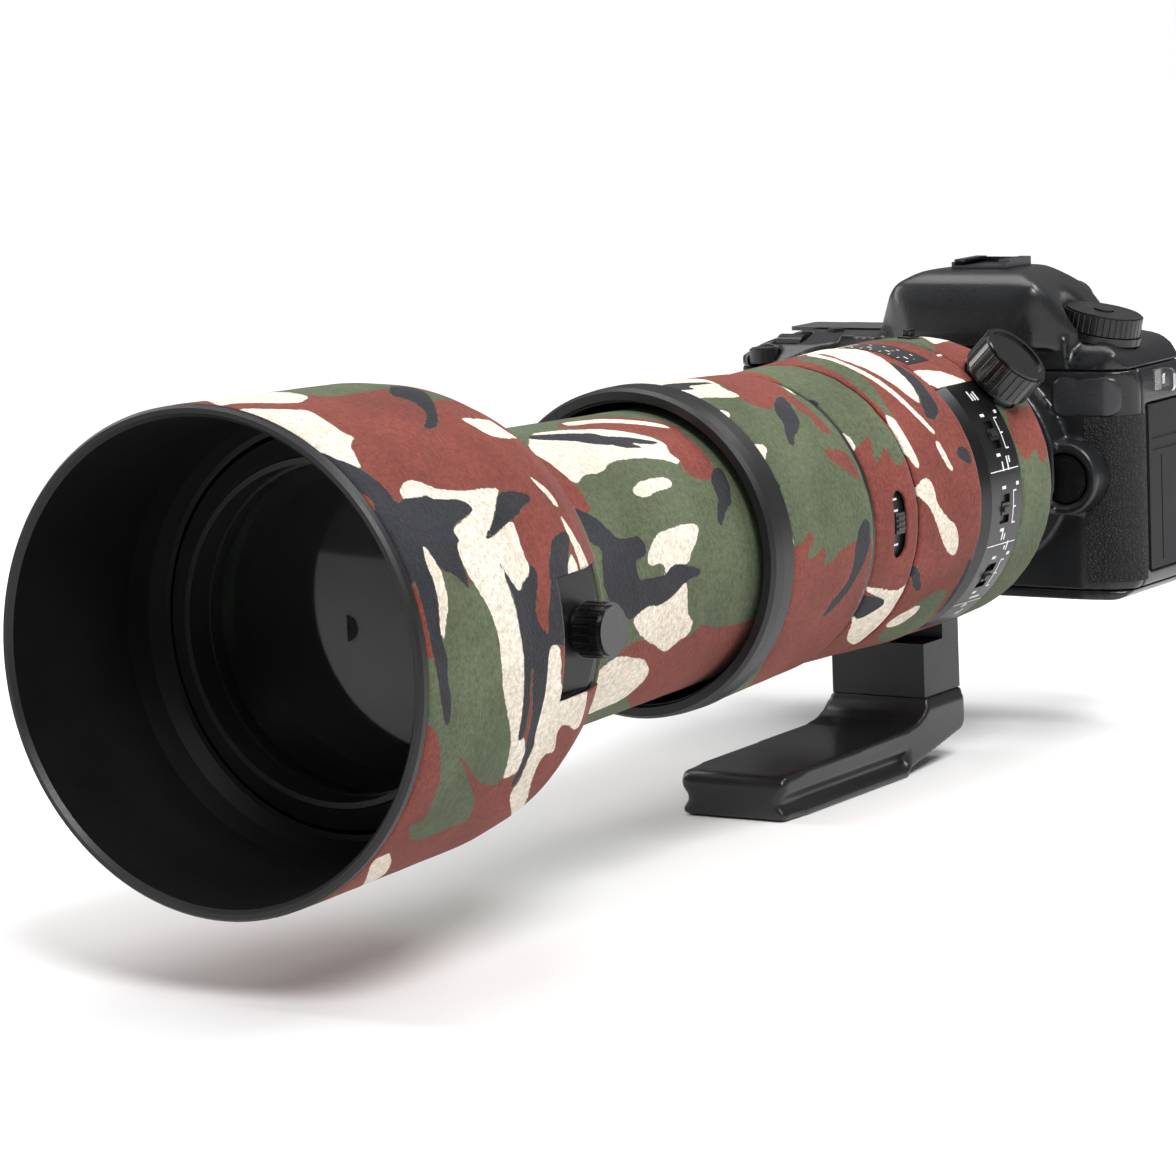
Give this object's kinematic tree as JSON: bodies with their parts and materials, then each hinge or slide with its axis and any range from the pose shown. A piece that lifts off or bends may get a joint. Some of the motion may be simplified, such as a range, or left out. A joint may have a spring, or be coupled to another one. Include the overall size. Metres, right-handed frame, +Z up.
{
  "type": "dslr camera",
  "caption": "Digital single-lens reflex camera with a long zoom lens in camouflage sleeves, deep hood and a rotating tripod collar on a dovetail foot.",
  "frame": {"origin": "centre of the threaded hole in the tripod foot's underside", "axes": "+Z up, lens points to -Y with its axis in the plane x = 0, grip on the -X side"},
  "size_m": [0.172, 0.5056, 0.1633],
  "materials": {
    "black_plastic": "satin",
    "body_shell": "fine satin texture",
    "grip_rubber": "pebbled",
    "knob_black": "gloss",
    "camo_fabric": "knitted neoprene, camouflage print",
    "lens_glass": "coated",
    "optic_glass": "coated",
    "window_glass": "gloss",
    "screen_glass": "gloss",
    "mount_metal": "brushed",
    "foot_metal": "black anodised",
    "screw_steel": "bright",
    "switch_black": "satin",
    "button_black": "satin",
    "mirror_silver": "mirror",
    "board_green": "matte",
    "battery_grey": "matte",
    "cover_rubber": "smooth"
  },
  "bodies": {
    "collar": {"tripod_collar": "foot_metal", "tripod_foot": "foot_metal", "foot_screws": "screw_steel", "collar_cover": "camo_fabric"},
    "lens": {"main_barrel": "black_plastic", "lens_mount": "mount_metal", "band_cover": "camo_fabric", "panel_cover": "camo_fabric", "switch_panel": "black_plastic", "distance_window": "window_glass", "rear_glass": "optic_glass", "front_cover": "body_shell", "rear_cover": "body_shell", "top_cover": "body_shell", "bottom_plate": "body_shell", "body_rubber": "grip_rubber", "body_mount": "mount_metal", "mirror_box": "black_plastic", "prism": "optic_glass", "sensor_unit": "board_green", "hot_shoe": "mount_metal", "rear_lcd": "screen_glass", "top_lcd": "screen_glass", "eyecup": "cover_rubber", "strap_lugs": "mount_metal", "battery": "battery_grey"},
    "focus_ring": {"focus_ring": "black_plastic", "focus_cover": "camo_fabric"},
    "zoom_ring": {"zoom_ring": "black_plastic", "zoom_cover": "camo_fabric"},
    "inner_barrel": {"inner_barrel": "black_plastic", "neck_cover": "camo_fabric", "front_glass": "lens_glass"},
    "hood": {"hood": "black_plastic", "hood_cover": "camo_fabric"},
    "collar_knob": {"collar_knob": "knob_black"},
    "zoom_lock_switch": {"zoom_lock_switch": "switch_black"},
    "focus_switch": {"focus_switch": "switch_black"},
    "range_switch": {"range_switch": "switch_black"},
    "stabiliser_switch": {"stabiliser_switch": "switch_black"},
    "focus_glass": {"focus_glass": "optic_glass"},
    "zoom_glass": {"zoom_glass": "optic_glass"},
    "hood_screw": {"hood_screw": "knob_black"},
    "mode_dial": {"mode_dial": "button_black"},
    "mode_lock_button": {"mode_lock_button": "button_black"},
    "power_switch": {"power_switch": "switch_black"},
    "shutter_button": {"shutter_button": "button_black"},
    "main_dial": {"main_dial": "button_black"},
    "top_button": {"top_button": "button_black"},
    "quick_dial": {"quick_dial": "button_black"},
    "set_button": {"set_button": "button_black"},
    "joystick": {"joystick": "button_black"},
    "af_on_button": {"af_on_button": "button_black"},
    "menu_button": {"menu_button": "button_black"},
    "play_button": {"play_button": "button_black"},
    "lens_release": {"lens_release": "button_black"},
    "port_cover": {"port_cover": "cover_rubber"},
    "card_door": {"card_door": "body_shell"},
    "battery_door": {"battery_door": "body_shell"},
    "mirror": {"mirror": "mirror_silver"}
  },
  "joints": [
    {"name": "collar_turn", "type": "hinge", "parent": "collar", "child": "lens", "pos_m": [0, 0.1235, 0.093], "axis": [0, 1, 0], "continuous": true},
    {"name": "collar_knob_turn", "type": "hinge", "parent": "collar", "child": "collar_knob", "pos_m": [0.03535, 0.0785, 0.12835], "axis": [0.7071, 0, 0.7071], "range_deg": [0, 360]},
    {"name": "barrel_slide", "type": "slide", "parent": "lens", "child": "inner_barrel", "axis": [0, 1, 0], "range_m": [0, 0.085]},
    {"name": "zoom_turn", "type": "hinge", "parent": "lens", "child": "zoom_ring", "pos_m": [0, 0.1235, 0.093], "axis": [0, 1, 0], "range_deg": [0, 136]},
    {"name": "zoom_group_slide", "type": "slide", "parent": "lens", "child": "zoom_glass", "axis": [0, 1, 0], "range_m": [0, 0.0256]},
    {"name": "focus_turn", "type": "hinge", "parent": "lens", "child": "focus_ring", "pos_m": [0, 0.1235, 0.093], "axis": [0, 1, 0], "range_deg": [-75, 75]},
    {"name": "focus_group_slide", "type": "slide", "parent": "lens", "child": "focus_glass", "axis": [0, 1, 0], "range_m": [-0.0082, 0.0082]},
    {"name": "zoom_lock_shift", "type": "hinge", "parent": "lens", "child": "zoom_lock_switch", "pos_m": [0, 0.1235, 0.093], "axis": [0, 1, 0], "range_deg": [-6, 6]},
    {"name": "focus_switch_shift", "type": "hinge", "parent": "lens", "child": "focus_switch", "pos_m": [0, 0.1235, 0.093], "axis": [0, 1, 0], "range_deg": [-2.8, 2.8]},
    {"name": "range_switch_shift", "type": "hinge", "parent": "lens", "child": "range_switch", "pos_m": [0, 0.1235, 0.093], "axis": [0, 1, 0], "range_deg": [-2.8, 2.8]},
    {"name": "stabiliser_switch_shift", "type": "hinge", "parent": "lens", "child": "stabiliser_switch", "pos_m": [0, 0.1235, 0.093], "axis": [0, 1, 0], "range_deg": [-2.8, 2.8]},
    {"name": "hood_pull", "type": "slide", "parent": "inner_barrel", "child": "hood", "axis": [0, -1, 0], "range_m": [0, 0.06]},
    {"name": "hood_screw_turn", "type": "hinge", "parent": "hood", "child": "hood_screw", "pos_m": [0.065, -0.2215, 0.092], "axis": [1, 0, 0], "range_deg": [0, 360]},
    {"name": "mode_dial_turn", "type": "hinge", "parent": "lens", "child": "mode_dial", "pos_m": [0.0385, 0.1525, 0.1354], "axis": [0.2079, 0, 0.9781], "continuous": true},
    {"name": "mode_lock_press", "type": "slide", "parent": "mode_dial", "child": "mode_lock_button", "axis": [-0.2079, 0, -0.9781], "range_m": [0, 0.0005], "stiffness_N_per_m": 300, "springref_m": -0.002},
    {"name": "power_turn", "type": "hinge", "parent": "lens", "child": "power_switch", "pos_m": [0.0385, 0.1525, 0.1354], "axis": [0.2079, 0, 0.9781], "range_deg": [-20, 20]},
    {"name": "shutter_press", "type": "slide", "parent": "lens", "child": "shutter_button", "axis": [0, 0, -1], "range_m": [0, 0.0012], "stiffness_N_per_m": 300, "springref_m": -0.002},
    {"name": "main_dial_turn", "type": "hinge", "parent": "lens", "child": "main_dial", "pos_m": [-0.075, 0.1395, 0.1304], "axis": [1, 0, 0], "continuous": true},
    {"name": "top_button_press", "type": "slide", "parent": "lens", "child": "top_button", "axis": [0, 0, -1], "range_m": [0, 0.0008], "stiffness_N_per_m": 300, "springref_m": -0.002},
    {"name": "quick_dial_turn", "type": "hinge", "parent": "lens", "child": "quick_dial", "pos_m": [-0.059, 0.1805, 0.075], "axis": [0, 1, 0], "continuous": true},
    {"name": "set_press", "type": "slide", "parent": "lens", "child": "set_button", "axis": [0, -1, 0], "range_m": [0, 0.0008], "stiffness_N_per_m": 300, "springref_m": -0.002},
    {"name": "joystick_tilt", "type": "hinge", "parent": "lens", "child": "joystick", "pos_m": [-0.044, 0.1783, 0.1045], "axis": [1, 0, 0], "range_deg": [-6, 6], "stiffness_Nm_per_rad": 0.02},
    {"name": "af_on_press", "type": "slide", "parent": "lens", "child": "af_on_button", "axis": [0, -1, 0], "range_m": [0, 0.0008], "stiffness_N_per_m": 300, "springref_m": -0.002},
    {"name": "menu_press", "type": "slide", "parent": "lens", "child": "menu_button", "axis": [0, -1, 0], "range_m": [0, 0.0008], "stiffness_N_per_m": 300, "springref_m": -0.002},
    {"name": "play_press", "type": "slide", "parent": "lens", "child": "play_button", "axis": [0, -1, 0], "range_m": [0, 0.0008], "stiffness_N_per_m": 300, "springref_m": -0.002},
    {"name": "lens_release_press", "type": "slide", "parent": "lens", "child": "lens_release", "axis": [0, 1, 0], "range_m": [0, 0.0025], "stiffness_N_per_m": 400, "springref_m": -0.003},
    {"name": "port_cover_open", "type": "hinge", "parent": "lens", "child": "port_cover", "pos_m": [0.0586, 0.1484, 0.0846], "axis": [0, 0, -1], "range_deg": [0, 100]},
    {"name": "card_door_open", "type": "hinge", "parent": "lens", "child": "card_door", "pos_m": [-0.0943, 0.1477, 0.088], "axis": [0, 0, 1], "range_deg": [0, 100]},
    {"name": "battery_door_open", "type": "hinge", "parent": "lens", "child": "battery_door", "pos_m": [-0.0599, 0.1485, 0.0467], "axis": [0, -1, 0], "range_deg": [0, 90]},
    {"name": "mirror_flip", "type": "hinge", "parent": "lens", "child": "mirror", "pos_m": [0, 0.1525, 0.1092], "axis": [-1, 0, 0], "range_deg": [0, 45]}
  ],
  "couplings": [
    {"joint": "zoom_turn", "follows": "barrel_slide", "rad_per_m": 27.72},
    {"joint": "zoom_group_slide", "follows": "barrel_slide", "ratio": 0.3},
    {"joint": "focus_group_slide", "follows": "focus_turn", "m_per_rad": 0.0061}
  ]
}
